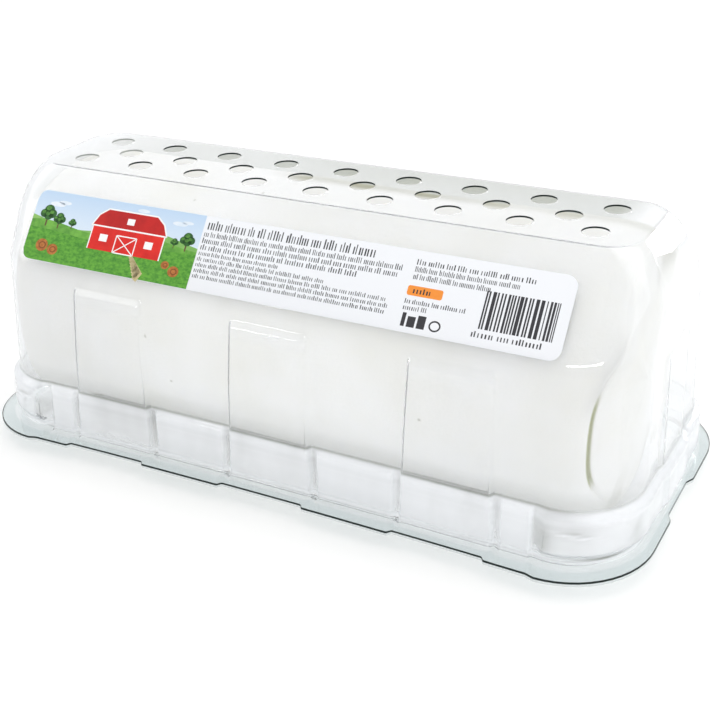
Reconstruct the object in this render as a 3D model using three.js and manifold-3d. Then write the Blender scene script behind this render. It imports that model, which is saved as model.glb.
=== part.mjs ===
// A ripened goat cheese log in its clear retail pack: a vented dome that stands on a shallow tray,
// with a long label on the dome's front slope.
// Millimetres, +Z up, the pack's length along X and its labelled side facing -Y.
// The origin is at the middle of the footprint, on the surface that the tray stands on.

import * as THREE from 'three';
import Module from 'manifold-3d';

const wasm = await Module();
wasm.setup();

// Driving dimensions. Heights of the dome, the log and the label count from the dome's flange.
const sheet = 0.5;
const gap = 0.3;
const flange = { halfLength: 109.8, halfWidth: 52.3, radius: 24.7 };
const foot = { halfLength: 105.3, halfWidth: 44.4, radius: 20.5 };
const shoulder = { height: 54, halfLength: 104.4, halfWidth: 38.2, radius: 18 };
const panel = { height: 79.8, halfLength: 96, halfWidth: 18.2, radius: 9 };
const creaseDrop = 0.6;
const endRounding = { start: 61, fullness: 0.8, steps: 5 };

const rib = { centre: 56.2, halfWidth: 11.8, spread: 1.6, ramp: 1.2, depth: 1.7, top: 47.4, fade: 2.6 };
const endRib = { halfWidth: 10, ramp: 1.4, depth: 1.2, mostOfStraight: 0.9 };
const skirt = { top: 13.6, ledge: 2.2, depth: 1.3, ramp: 1, clearOfRib: 2.4, end: 81.5 };
const cornerBulge = { depth: 2, from: 1.7, full: 4.5 };
const flangeJog = 1.4;
const footFillet = 0.9;
const bow = { depth: 2.2, height: 30 };

const vent = { pitch: 20.8, rowSpacing: 9.1, diameter: 7.5, sides: 14, inLongRow: 9 };

// The log is a little taller than wide, because the dome's roof and walls hold it. Its left end has sagged
// into the dome's end: it is rounder in plan, and squarer below the axis. Lips, for above and below the
// axis, and their insets are shares of the full section.
const log = { halfWidth: 39, halfHeight: 41.4, axisHeight: 36.4, flatDrop: 40.7, sides: 40 };
const leftEnd = { shoulder: 81, length: 19.2, lip: 0.76, lipBelow: 0.87, squareness: 1.2, reach: 101.8 };
const rightEnd = { shoulder: 84, length: 11.4, lip: 0.895, lipBelow: 0.895, squareness: 0, reach: 98 };
const logFace = { creaseInset: 0.02, creaseDepth: 2.2, edgeInset: 0.055, bulge: 1.8 };
const endSkew = { sideways: 1, upwards: 1.3 };
const shoulderSteps = 5;
const logWaves = [
  { size: 0.14, lobes: 3, length: 31 },
  { size: 0.1, lobes: 2, length: 13 },
];

// The tray is just deep enough for the log's flat underside to rest on its floor.
const trayDepth = log.flatDrop - log.axisHeight;
const trayRim = { halfLength: 101.5, halfWidth: 41, radius: 17 };
const trayFloor = { draft: 2.2, radius: 14, edge: 1 };

const label = { length: 174.6, height: 22.4, corner: 3.2, thickness: 0.3, centreX: -2.7, fromCrease: 7.9 };

const arcSteps = 7;
const flangeHeight = trayDepth + sheet + gap;

// Where each upright rib and each raised skirt panel lies along the long sides.
const ribCentres = [-rib.centre, 0, rib.centre];
const endRibCrest = endRib.halfWidth / (endRib.halfWidth + endRib.ramp);
const skirtPanels = panelSpans();
const longStations = stationsAlong();

function panelSpans() {
  const fromRib = rib.halfWidth + rib.ramp + skirt.clearOfRib;
  const between = [fromRib, rib.centre - fromRib];
  const outside = [rib.centre + fromRib, skirt.end];
  return [between, outside].flatMap(([from, to]) => [{ from, to }, { from: -to, to: -from }]);
}

// The stations that every section shares along a long side. Those at a rib's edges lean outwards below.
function stationsAlong() {
  const stations = [];
  for (const centre of ribCentres) {
    for (const side of [-1, 1]) {
      for (const reach of [rib.halfWidth, rib.halfWidth + rib.ramp]) {
        stations.push({ x: centre + side * reach, lean: side });
      }
    }
  }
  for (const { from, to } of skirtPanels) {
    for (const x of [from, from + skirt.ramp, to - skirt.ramp, to]) stations.push({ x, lean: 0 });
  }
  return stations.sort((one, other) => one.x - other.x);
}

function fraction(value, from, to) {
  return THREE.MathUtils.clamp((value - from) / (to - from), 0, 1);
}

function plateau(place, from, to, ramp) {
  return THREE.MathUtils.clamp(Math.min(place - from, to - place) / ramp, 0, 1);
}

function ribAt(x, spread) {
  const edge = rib.halfWidth + rib.ramp + spread;
  return Math.max(...ribCentres.map((centre) => plateau(x, centre - edge, centre + edge, rib.ramp)));
}

function skirtPanelAt(x) {
  return Math.max(...skirtPanels.map(({ from, to }) => plateau(x, from, to, skirt.ramp)));
}

// The long sides of the soft plastic are drawn in a little towards the middle, most of all at the flange.
function bowAt(x, height) {
  const along = 1 - (x / foot.halfLength) ** 2;
  return bow.depth * along * Math.max(0, 1 - height / bow.height);
}

function arc(cx, cy, radius, start) {
  return Array.from({ length: arcSteps + 1 }, (_, step) => {
    const angle = start + (step / arcSteps) * (Math.PI / 2);
    return [cx + radius * Math.cos(angle), cy + radius * Math.sin(angle)];
  });
}

// The plan at one height is a rounded rectangle, walked anticlockwise from above. Each option says how
// strongly one kind of relief stands out of it there. The second half is the first, turned half round.
function section({ height, halfLength, halfWidth, radius, ...relief }) {
  const { ribs = 0, spread = 0, panels = 0, bulge = 0, jog = 0, bowed = 1 } = relief;
  const straightX = halfLength - radius;
  const straightY = halfWidth - radius;
  const endReach = Math.min(endRib.halfWidth + endRib.ramp, endRib.mostOfStraight * straightY);
  const longSide = (x) => halfWidth + (ribs * rib.depth - jog * flangeJog) * ribAt(x, spread)
    + panels * skirt.depth * skirtPanelAt(x) - bowed * bowAt(x, height);
  const endSide = (place) => {
    const raised = Math.abs(place) < 1 ? ribs * endRib.depth - jog * flangeJog : 0;
    return halfLength + bulge + raised;
  };
  const half = [
    ...longStations.map(({ x, lean }) => x + lean * spread).map((x) => [x, -longSide(x)]),
    ...arc(straightX, -straightY, radius + bulge, -Math.PI / 2),
    ...[-1, -endRibCrest, endRibCrest, 1].map((place) => [endSide(place), place * endReach]),
    ...arc(straightX, straightY, radius + bulge, 0),
  ];
  const turned = half.map(([x, y]) => [-x, -y]);
  return [...half, ...turned].map(([x, y]) => new THREE.Vector3(x, y, height));
}

// The dome's walls lean in a little up to the shoulder. Above it the long sides slope in to the crease
// of the top panel, while the ends stand on and then round over.
function domeSection(height) {
  const mix = THREE.MathUtils.lerp;
  const up = Math.min(height / shoulder.height, 1);
  const wallLength = mix(foot.halfLength, shoulder.halfLength, up);
  const wallWidth = mix(foot.halfWidth, shoulder.halfWidth, up);
  const wallRadius = mix(foot.radius, shoulder.radius, up);
  const slope = fraction(height, shoulder.height, panel.height - creaseDrop);
  const turn = fraction(height, endRounding.start, panel.height);
  const rounded = 1 - (1 - turn * turn) ** endRounding.fullness;
  const inSkirt = 1 - fraction(height, skirt.top, skirt.top + skirt.ledge);
  return section({
    height,
    halfLength: mix(wallLength, panel.halfLength, rounded),
    halfWidth: mix(wallWidth, panel.halfWidth + creaseDrop, slope),
    radius: mix(wallRadius, panel.radius, THREE.MathUtils.smoothstep(slope, 0, 1)),
    ribs: 1 - fraction(height, rib.top, rib.top + rib.fade),
    spread: rib.spread * Math.max(0, 1 - height / rib.top),
    panels: inSkirt,
    bulge: cornerBulge.depth * Math.min(fraction(height, cornerBulge.from, cornerBulge.full), inSkirt),
  });
}

// The levels of the rounded ends lie closer together towards the top, where the curve is tightest.
function roundedLevels() {
  const rise = panel.height - creaseDrop - endRounding.start;
  return Array.from({ length: endRounding.steps + 1 }, (_, step) => (
    endRounding.start + rise * Math.sin((step / endRounding.steps) * (Math.PI / 2))));
}

// Joins rings of points, all with one count, into a closed body with a fan over each end.
function loft(rings) {
  const count = rings[0].length;
  const positions = [];
  const indices = [];
  for (const ring of rings) {
    for (const point of ring) positions.push(point.x, point.y, point.z);
  }
  for (let level = 0; level + 1 < rings.length; level += 1) {
    for (let step = 0; step < count; step += 1) {
      const next = (step + 1) % count;
      const low = level * count;
      const high = low + count;
      indices.push(low + step, low + next, high + next);
      indices.push(low + step, high + next, high + step);
    }
  }
  addFan(positions, indices, rings[0], 0, true);
  addFan(positions, indices, rings[rings.length - 1], (rings.length - 1) * count, false);
  return { positions, indices };
}

function addFan(positions, indices, ring, first, facingBack) {
  const centre = new THREE.Vector3();
  for (const point of ring) centre.add(point);
  centre.divideScalar(ring.length);
  const middle = positions.length / 3;
  positions.push(centre.x, centre.y, centre.z);
  for (let step = 0; step < ring.length; step += 1) {
    const here = first + step;
    const next = first + ((step + 1) % ring.length);
    if (facingBack) indices.push(middle, next, here);
    else indices.push(middle, here, next);
  }
}

function toSolid({ positions, indices }) {
  const mesh = new wasm.Mesh({
    numProp: 3,
    vertProperties: new Float32Array(positions),
    triVerts: new Uint32Array(indices),
  });
  return new wasm.Manifold(mesh);
}

// A solid from one of the library's own geometries, whose repeated vertices are merged first.
function weldedSolid(geometry) {
  const flat = geometry.index ? geometry.toNonIndexed() : geometry;
  const source = flat.getAttribute('position');
  const perMillimetre = 1e4;
  const places = new Map();
  const positions = [];
  const indices = [];
  for (let i = 0; i < source.count; i += 1) {
    const point = [source.getX(i), source.getY(i), source.getZ(i)];
    const key = point.map((value) => Math.round(value * perMillimetre)).join();
    if (!places.has(key)) {
      places.set(key, positions.length / 3);
      positions.push(...point);
    }
    indices.push(places.get(key));
  }
  return toSolid({ positions, indices });
}

function toGeometry(solid) {
  const mesh = solid.getMesh();
  const geometry = new THREE.BufferGeometry();
  geometry.setAttribute('position', new THREE.BufferAttribute(mesh.vertProperties, 3));
  geometry.setIndex(new THREE.BufferAttribute(mesh.triVerts, 1));
  geometry.computeVertexNormals();
  return geometry;
}

function insetPlan(plan, by) {
  return {
    halfLength: plan.halfLength - by,
    halfWidth: plan.halfWidth - by,
    radius: plan.radius - by,
  };
}

function ringNormal(rings, level, step) {
  const ring = rings[level];
  const before = ring[(step + ring.length - 1) % ring.length];
  const after = ring[(step + 1) % ring.length];
  const above = rings[Math.min(level + 1, rings.length - 1)][step];
  const below = rings[Math.max(level - 1, 0)][step];
  const along = new THREE.Vector3().subVectors(after, before);
  const upward = new THREE.Vector3().subVectors(above, below);
  return new THREE.Vector3().crossVectors(along, upward).normalize();
}

// Two long rows of vents stand either side of a row that is one shorter and half a pitch along.
function ventPlaces() {
  const middle = (vent.inLongRow - 1) / 2;
  const longRow = Array.from({ length: vent.inLongRow }, (_, i) => (i - middle) * vent.pitch);
  const shortRow = longRow.slice(1).map((x) => x - vent.pitch / 2);
  return [
    ...longRow.map((x) => [x, vent.rowSpacing]),
    ...shortRow.map((x) => [x, 0]),
    ...longRow.map((x) => [x, -vent.rowSpacing]),
  ];
}

function ventCutter(x, y) {
  const radius = vent.diameter / 2;
  const throughSheet = 6 * sheet;
  const cylinder = new THREE.CylinderGeometry(radius, radius, throughSheet, vent.sides);
  cylinder.rotateX(Math.PI / 2);
  cylinder.translate(x, y, panel.height - sheet / 2);
  return weldedSolid(cylinder);
}

function makeDome() {
  const heights = [
    cornerBulge.from, cornerBulge.full, skirt.top, skirt.top + skirt.ledge, bow.height,
    rib.top, rib.top + rib.fade, shoulder.height, ...roundedLevels(),
  ];
  const walls = heights.map(domeSection);
  const atFoot = { ribs: 1, panels: 1, spread: rib.spread };
  const outerFoot = section({ height: sheet, ...insetPlan(foot, -footFillet), ...atFoot });
  const top = section({ height: panel.height, ...panel, bowed: 0 });
  const outer = [outerFoot, ...walls, top];
  const inner = walls.map((ring, level) => ring.map((point, step) => (
    point.clone().addScaledVector(ringNormal(outer, level + 1, step), -sheet))));
  const innerFoot = section({ height: 0, ...insetPlan(foot, sheet - footFillet), ...atFoot });
  const innerTop = section({ height: panel.height - sheet, ...insetPlan(panel, sheet), bowed: 0 });
  const rings = [
    innerTop,
    ...inner.reverse(),
    innerFoot,
    section({ height: 0, ...flange, jog: 1 }),
    section({ height: sheet, ...flange, jog: 1 }),
    ...outer,
  ];
  const cutters = ventPlaces().map(([x, y]) => ventCutter(x, y));
  return toSolid(loft(rings)).subtract(wasm.Manifold.union(cutters));
}

function makeTray() {
  const rim = trayRim;
  const floor = { ...insetPlan(rim, trayFloor.draft), radius: trayFloor.radius };
  const floorTop = -gap - trayDepth;
  const edge = trayFloor.edge;
  const plain = { bowed: 0 };
  return toSolid(loft([
    section({ height: floorTop - sheet, ...insetPlan(floor, edge - sheet), ...plain }),
    section({ height: floorTop - sheet + edge, ...insetPlan(floor, -sheet), ...plain }),
    section({ height: -gap - sheet, ...insetPlan(rim, -sheet), ...plain }),
    section({ height: -gap - sheet, ...flange, jog: 1 }),
    section({ height: -gap, ...flange, jog: 1 }),
    section({ height: -gap, ...rim, ...plain }),
    section({ height: floorTop + edge, ...floor, ...plain }),
    section({ height: floorTop, ...insetPlan(floor, edge), ...plain }),
  ]));
}

// The log's section on its way out to one end, as shares of the full one above and below the axis: a round
// shoulder after the long straight body, then the crease where the rind folds in round a slightly domed
// face. The end's own form, its skew and its squareness, sets in along the shoulder.
function endProfile(end) {
  const profile = [];
  for (let step = 0; step <= shoulderSteps; step += 1) {
    const angle = (step / shoulderSteps) * (Math.PI / 2);
    profile.push({
      x: end.shoulder + end.length * Math.sin(angle),
      above: end.lip + (1 - end.lip) * Math.cos(angle),
      below: end.lipBelow + (1 - end.lipBelow) * Math.cos(angle),
      setIn: Math.sin(angle),
    });
  }
  profile.push({
    x: end.reach - logFace.bulge - logFace.creaseDepth,
    above: end.lip - logFace.creaseInset,
    below: end.lipBelow - logFace.creaseInset,
    setIn: 1,
  });
  for (const part of [1, 0.7, 0.25]) {
    profile.push({
      x: end.reach - logFace.bulge * part * part,
      above: (end.lip - logFace.edgeInset) * part,
      below: (end.lipBelow - logFace.edgeInset) * part,
      setIn: 1,
    });
  }
  return profile.map((place) => ({ ...place, squareness: end.squareness * place.setIn }));
}

function unevenness(x, angle) {
  const heightOf = (wave) => wave.size * Math.sin(wave.lobes * angle + x / wave.length);
  return logWaves.reduce((sum, wave) => sum + heightOf(wave), 0);
}

// A sine or cosine changed so that the oval they draw together has squarer corners.
function squared(value, squareness) {
  return Math.sign(value) * Math.abs(value) ** (2 / (2 + squareness));
}

// Rings of points round the log's axis, which lies along X, with the underside pressed flat.
function makeLog() {
  const middle = { x: 0, above: 1, below: 1, setIn: 0, squareness: 0 };
  const left = endProfile(leftEnd).reverse().map((place) => ({ ...place, x: -place.x }));
  const rings = [...left, middle, ...endProfile(rightEnd)].map((place) => (
    Array.from({ length: log.sides }, (_, step) => {
      const angle = (step / log.sides) * 2 * Math.PI;
      const isBelow = angle > Math.PI;
      const corner = isBelow ? place.squareness : 0;
      const rise = isBelow ? place.below : place.above;
      const wave = unevenness(place.x, angle);
      const y = place.above * (log.halfWidth + wave) * squared(Math.cos(angle), corner);
      const height = rise * (log.halfHeight + wave) * squared(Math.sin(angle), corner);
      const z = Math.max(height, -log.flatDrop);
      const skew = (endSkew.sideways * y) / log.halfWidth + (endSkew.upwards * z) / log.halfHeight;
      return new THREE.Vector3(place.x + place.setIn * skew, y, z + log.axisHeight);
    })));
  return toSolid(loft(rings));
}

// A rounded rectangle lying on the dome's front slope, its top edge towards the crease.
function makeLabel() {
  const straightX = label.length / 2 - label.corner;
  const straightY = label.height / 2 - label.corner;
  const shape = new THREE.Shape();
  shape.absarc(straightX, -straightY, label.corner, -Math.PI / 2, 0);
  shape.absarc(straightX, straightY, label.corner, 0, Math.PI / 2);
  shape.absarc(-straightX, straightY, label.corner, Math.PI / 2, Math.PI);
  shape.absarc(-straightX, -straightY, label.corner, Math.PI, 1.5 * Math.PI);
  shape.closePath();
  return weldedSolid(new THREE.ExtrudeGeometry(shape, {
    depth: label.thickness,
    bevelEnabled: false,
    curveSegments: arcSteps,
  }));
}

function material(color, roughness, extra = {}) {
  return new THREE.MeshStandardMaterial({ color, roughness, metalness: 0, ...extra });
}

function addPiece(group, name, solid, finish, height) {
  const mesh = new THREE.Mesh(toGeometry(solid), finish);
  mesh.name = name;
  mesh.position.z = height;
  group.add(mesh);
  return mesh;
}

function layOnSlope(paper) {
  const slopeRun = shoulder.halfWidth - panel.halfWidth - creaseDrop;
  const slopeRise = panel.height - creaseDrop - shoulder.height;
  const slopeAngle = Math.atan2(slopeRise, slopeRun);
  const toCentre = label.fromCrease + label.height / 2;
  paper.rotation.x = slopeAngle;
  paper.position.set(
    label.centreX,
    -panel.halfWidth - creaseDrop - toCentre * Math.cos(slopeAngle) - gap * Math.sin(slopeAngle),
    flangeHeight + panel.height - creaseDrop - toCentre * Math.sin(slopeAngle) + gap * Math.cos(slopeAngle),
  );
}

const clearTray = material(0xd8e2e6, 0.12, { transparent: true, opacity: 0.35 });
const clearDome = material(0xe6eef0, 0.08, { transparent: true, opacity: 0.25 });
const whiteRind = material(0xf2efe6, 0.75);
const whitePaper = material(0xf7f7f5, 0.45);

const pack = new THREE.Group();
addPiece(pack, 'tray', makeTray(), clearTray, flangeHeight);
addPiece(pack, 'cheese_log', makeLog(), whiteRind, flangeHeight);
addPiece(pack, 'dome', makeDome(), clearDome, flangeHeight);
layOnSlope(addPiece(pack, 'label', makeLabel(), whitePaper, flangeHeight));

export default pack;
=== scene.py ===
"""A ripened goat cheese log in its clear vented pack: the looks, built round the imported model.

Sizes below are in millimetres and repeat the part's own named values. Heights of the dome, the log and
the label count from the underside of the dome's flange. Meshes are made in metres, in the row frame.
"""
import math
import random

import bmesh
import bpy
import numpy as np
from mathutils import Matrix, Vector
from mathutils.geometry import delaunay_2d_cdt


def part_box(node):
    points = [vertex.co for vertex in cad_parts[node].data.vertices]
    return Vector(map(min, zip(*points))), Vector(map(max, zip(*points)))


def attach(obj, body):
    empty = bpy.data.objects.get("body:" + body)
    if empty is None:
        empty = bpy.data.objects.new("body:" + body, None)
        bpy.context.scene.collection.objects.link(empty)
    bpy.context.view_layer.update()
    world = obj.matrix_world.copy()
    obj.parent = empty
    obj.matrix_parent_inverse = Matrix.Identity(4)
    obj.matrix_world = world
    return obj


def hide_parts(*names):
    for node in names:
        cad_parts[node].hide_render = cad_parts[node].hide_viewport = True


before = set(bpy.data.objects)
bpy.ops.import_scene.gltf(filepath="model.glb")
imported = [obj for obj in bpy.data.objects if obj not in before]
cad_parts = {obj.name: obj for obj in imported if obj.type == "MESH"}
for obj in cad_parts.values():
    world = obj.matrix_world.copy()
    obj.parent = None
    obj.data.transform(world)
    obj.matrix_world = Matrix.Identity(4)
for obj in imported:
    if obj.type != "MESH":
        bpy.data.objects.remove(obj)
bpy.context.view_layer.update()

MM = 0.001
WELD_DISTANCE = 1e-6
FLANGE_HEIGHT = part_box("dome")[0].z / MM

# The dome, as the part has it
SHEET = 0.5
GAP = 0.3
FLANGE = {"half_length": 109.8, "half_width": 52.3, "radius": 24.7}
FOOT = {"half_length": 105.3, "half_width": 44.4, "radius": 20.5}
SHOULDER = {"half_length": 104.4, "half_width": 38.2, "radius": 18.0}
SHOULDER_HEIGHT = 54.0
SHOULDER_SOFTNESS = 2.5
PANEL = {"half_length": 96.0, "half_width": 18.2, "radius": 9.0}
PANEL_HEIGHT = 79.8
CREASE_DROP = 0.6
CREASE_BEND = 0.35
PANEL_BORDER = 0.6
END_ROUNDING_START = 61.0
END_ROUNDING_FULLNESS = 0.8

RIB_CENTRES = (-56.2, 0.0, 56.2)
RIB = {"half_width": 12.4, "depth": 1.7, "bend": 0.55, "lean": math.radians(60)}
RIB_SPREAD = 1.6
RIB_TOP = 47.4
RIB_FADE = 2.6
END_RIB = {"half_width": 10.7, "depth": 0.8, "bend": 2.4, "lean": math.radians(16)}
SKIRT_TOP = 13.6
SKIRT_LEDGE = 2.2
SKIRT_PANEL = {"depth": 1.3, "bend": 0.5, "lean": math.radians(55)}
SKIRT_CLEAR_OF_RIB = 3.5
SKIRT_END = 81.0
BULGE = 2.0
BULGE_FROM = 1.7
BULGE_FULL = 4.5
FLANGE_JOG = 1.4
FOOT_FILLET = 1.1
BOW = 2.2
BOW_HEIGHT = 30.0

VENT_PITCH = 20.8
VENT_ROW_SPACING = 9.1
VENT_RADIUS = 3.75
VENT_COUNT = 9
VENT_SIDES = 44
# The dark cut edge goes only on the part of each vent's wall that lies away from the camera, as painted shade on the
# far rim; the vents at the left end get a fainter edge
VENT_FAR_SIDE = math.radians(119.0)
VENT_PAINTED_SHADE_REACH = math.radians(78.0)
FAINT_VENTS_UP_TO = -72.0

# The share of milky veil in the dome's sheet: by height on the walls, and from the left end of the panel to the right.
# The veil is partly the plastic's haze and partly painted reflection of the white studio. On the walls its steps by
# height hold a painted highlight along the foot's fillet, painted shade just above the foot and a painted highlight
# along the skirt's top edge.
WALL_VEIL_AND_PAINTED_LIGHT = ((0.0, 0.02), (0.7, 0.05), (1.0, 0.5), (1.7, 0.5), (2.3, 0.26), (8.0, 0.4), (12.0, 0.42),
             (13.4, 0.55), (14.8, 0.5), (16.5, 0.16), (30.0, 0.12), (54.0, 0.1), (80.0, 0.1))
END_VEIL = {"left": 0.1, "right": 0.19}
# Painted glare over the ends' upper corners and over the top panel's ends
PAINTED_END_GLARE = 0.19
# Painted light: more veil towards the right of the skirt, as though lit from the right
SKIRT_RIGHT_PAINTED_LIGHT = 0.24
PANEL_VEIL = (0.1, 0.2)
PANEL_FACE_VEIL = 0.08
# Less veil on the skirt's side walls, so they show darker: painted shade
SIDE_WALL_CLEARNESS = 0.3
# A painted highlight along the rib tops
PAINTED_RIB_TOP_HIGHLIGHT = 0.14
# A painted glint along the corners' skirt ledge
PAINTED_CORNER_GLINT = 0.4

# Painted shade: the dark line in the bend above the skirt, where the cheese's shade shows through, the shade over it,
# and the shade beside each corner
BEND_HEIGHT = 15.7
BEND_LINE = 0.5
BEND_SHADE = 0.09
# Soft patches of painted shade beside each corner
CORNER_SHADE = 0.22

# The log. Its lips, above and below the axis, and their insets are shares of the full section
LOG_HALF_WIDTH = 39.0
LOG_HALF_HEIGHT = 41.4
LOG_AXIS_HEIGHT = 36.4
LOG_FLAT_DROP = 40.7
LEFT_END = {"shoulder": 81.0, "length": 19.2, "lips": (0.76, 0.87), "squareness": 1.2, "reach": 101.8}
RIGHT_END = {"shoulder": 84.0, "length": 11.4, "lips": (0.895, 0.895), "squareness": 0.0, "reach": 98.0}
CREASE_INSET = 0.02
CREASE_DEPTH = 2.2
FACE_INSET = 0.055
FACE_BULGE = 1.8
END_SKEW_SIDEWAYS = 1.0
END_SKEW_UPWARDS = 1.3

# The tray
TRAY_DEPTH = LOG_FLAT_DROP - LOG_AXIS_HEIGHT
TRAY_RIM = {"half_length": 101.5, "half_width": 41.0, "radius": 17.0}
TRAY_DRAFT = 2.2
TRAY_FLOOR_RADIUS = 14.0

# The label
LABEL_LENGTH = 174.6
LABEL_HEIGHT = 22.4
LABEL_CORNER = 3.2
LABEL_THICKNESS = 0.3
LABEL_CENTRE_X = -2.7
LABEL_FROM_CREASE = 7.9
PRINT_MARGIN = 0.08
PRINT_LAYER = 0.012
PICTURE_END = -25.0


def smooth(value, start, end):
    """0 before start, 1 after end, with an S between them."""
    t = np.clip((value - start) / (end - start), 0.0, 1.0)
    return t * t * (3.0 - 2.0 * t)


def mix(start, end, share):
    return start + (end - start) * share


def soft_ramp(value, softness):
    """0 below zero and value above it, with the corner rounded over softness each way."""
    eased = np.clip(value + softness, 0.0, 2.0 * softness) ** 2 / (4.0 * softness)
    return np.where(value > softness, value, eased)


# Relief


def wall_run(step):
    """How far a raised face's side wall reaches across, with its bend at the foot and the top."""
    arcs_rise = 2.0 * step["bend"] * (1.0 - math.cos(step["lean"]))
    straight = (step["depth"] - arcs_rise) / math.tan(step["lean"])
    return 2.0 * step["bend"] * math.sin(step["lean"]) + straight


def raised(distance, step):
    """How far a raised face stands out, at a distance inwards from the middle of its side wall."""
    run = wall_run(step)
    bend = step["bend"]
    arc = bend * math.sin(step["lean"])
    place = np.clip(distance + run / 2.0, 0.0, run)
    rising = bend - np.sqrt(bend**2 - np.minimum(place, arc) ** 2)
    straight = np.clip(place - arc, 0.0, run - 2.0 * arc) * math.tan(step["lean"])
    left = np.minimum(run - place, arc)
    levelling = bend * (1.0 - math.cos(step["lean"])) - (bend - np.sqrt(bend**2 - left**2))
    return rising + straight + levelling


def wall_stations(step, count=9):
    """Where a side wall needs vertices, measured inwards from its middle."""
    reach = wall_run(step) / 2.0
    return np.concatenate(([-1.5 * reach], np.linspace(-reach, reach, count), [1.5 * reach]))


def skirt_panels():
    from_rib = RIB["half_width"] + SKIRT_CLEAR_OF_RIB
    spans = ((from_rib, RIB_CENTRES[2] - from_rib), (RIB_CENTRES[2] + from_rib, SKIRT_END))
    return spans + tuple((-end, -start) for start, end in spans)


def long_stations():
    """Places along a long side, and how far each one leans outwards where the ribs widen below."""
    walls = wall_stations(RIB)
    panel_walls = wall_stations(SKIRT_PANEL)
    places = [np.linspace(-SKIRT_END - 1.6, SKIRT_END + 1.6, 48)]
    for centre in RIB_CENTRES:
        places += [centre - RIB["half_width"] + walls, centre + RIB["half_width"] - walls]
    for start, end in skirt_panels():
        places += [start + panel_walls, end - panel_walls]
    places = np.unique(np.round(np.concatenate(places), 3))
    kept = [places[0]]
    for place in places[1:]:
        if place - kept[-1] > 0.1:
            kept.append(place)
    places = np.array(kept)
    gap_middle = RIB_CENTRES[2] / 2.0
    knots = [-90.0]
    leans = [0.0]
    for centre in RIB_CENTRES:
        knots += [centre - gap_middle + 4.0, centre - RIB["half_width"], centre, centre + RIB["half_width"],
                  centre + gap_middle - 4.0]
        leans += [0.0, -1.0, 0.0, 1.0, 0.0]
    return places, np.interp(places, knots, leans)


LONG_PLACES, LONG_LEANS = long_stations()
CORNER_STEPS = 14
FLANGE_RINGS = 4


def rib_relief(x, spread):
    reach = RIB["half_width"] + spread
    return sum(raised(reach - np.abs(x - centre), RIB) for centre in RIB_CENTRES)


def panel_relief(x):
    return sum(raised(np.minimum(x - start, end - x), SKIRT_PANEL) for start, end in skirt_panels())


def end_stations():
    """Places across an end: on the rib, in millimetres, and past it as a share of what is left."""
    edge = END_RIB["half_width"]
    wall = edge - wall_stations(END_RIB)
    middle = np.linspace(-0.7, 0.7, 5) * edge
    inner = np.sort(np.concatenate((-wall, middle, wall)))
    return inner, np.array([0.25, 0.6])


END_PLACES, END_SHARES = end_stations()


def ring(height, plan, ribs=0.0, spread=0.0, panels=0.0, bulge=0.0, jog=0.0, bowed=1.0, outset=0.0):
    """One closed ring of points at a height, walked anticlockwise from above."""
    half_length = plan["half_length"] + outset
    half_width = plan["half_width"] + outset
    radius = plan["radius"] + outset
    straight_x = half_length - radius
    straight_y = half_width - radius
    x = np.clip(LONG_PLACES + LONG_LEANS * spread, -straight_x + 0.5, straight_x - 0.5)
    rib_now = rib_relief(x, spread)
    bow = bowed * BOW * (1.0 - (x / FOOT["half_length"]) ** 2) * max(0.0, 1.0 - height / BOW_HEIGHT)
    side = half_width + rib_now * (ribs - jog * FLANGE_JOG / RIB["depth"]) + panels * panel_relief(x) - bow
    side = side + bulge * smooth(np.abs(x), SKIRT_END - 0.5, straight_x + 0.5)
    front = np.column_stack((x, -side))
    turn = np.linspace(0.0, math.pi / 2.0, CORNER_STEPS)
    arc = np.column_stack((np.cos(turn), np.sin(turn))) * (radius + bulge)
    upper_arc = arc + (straight_x, straight_y)
    lower_arc = np.column_stack((arc[:, 1], -arc[:, 0])) + (straight_x, -straight_y)
    fit = min(1.0, 0.9 * straight_y / END_PLACES[-1])
    reach = END_PLACES[-1] * fit
    beyond = reach + END_SHARES * (straight_y - reach)
    y = np.concatenate((-beyond[::-1], END_PLACES * fit, beyond))
    rib_end = raised(END_RIB["half_width"] - np.abs(y) / fit, END_RIB)
    out = half_length + bulge + rib_end * (ribs - jog * FLANGE_JOG / END_RIB["depth"])
    end = np.column_stack((out, y))
    half = np.concatenate((front, lower_arc, end, upper_arc))
    plan_points = np.concatenate((half, -half))
    return np.column_stack((plan_points, np.full(len(plan_points), float(height))))


def dome_plan(height):
    up = min(height / SHOULDER_HEIGHT, 1.0)
    wall_slope = (SHOULDER["half_width"] - FOOT["half_width"]) / SHOULDER_HEIGHT
    crease_height = PANEL_HEIGHT - CREASE_DROP
    roof_run = PANEL["half_width"] + CREASE_DROP - SHOULDER["half_width"]
    roof_slope = roof_run / (crease_height - SHOULDER_HEIGHT)
    past = float(soft_ramp(height - SHOULDER_HEIGHT, SHOULDER_SOFTNESS))
    turn = min(max((height - END_ROUNDING_START) / (PANEL_HEIGHT - END_ROUNDING_START), 0.0), 1.0)
    rounded = 1.0 - (1.0 - turn * turn) ** END_ROUNDING_FULLNESS
    wall_length = mix(FOOT["half_length"], SHOULDER["half_length"], up)
    wall_radius = mix(FOOT["radius"], SHOULDER["radius"], up)
    return {
        "half_length": mix(wall_length, PANEL["half_length"], rounded),
        "half_width": FOOT["half_width"] + wall_slope * height + (roof_slope - wall_slope) * past,
        "radius": mix(wall_radius, PANEL["radius"], float(smooth(height, SHOULDER_HEIGHT, crease_height))),
    }


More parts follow.
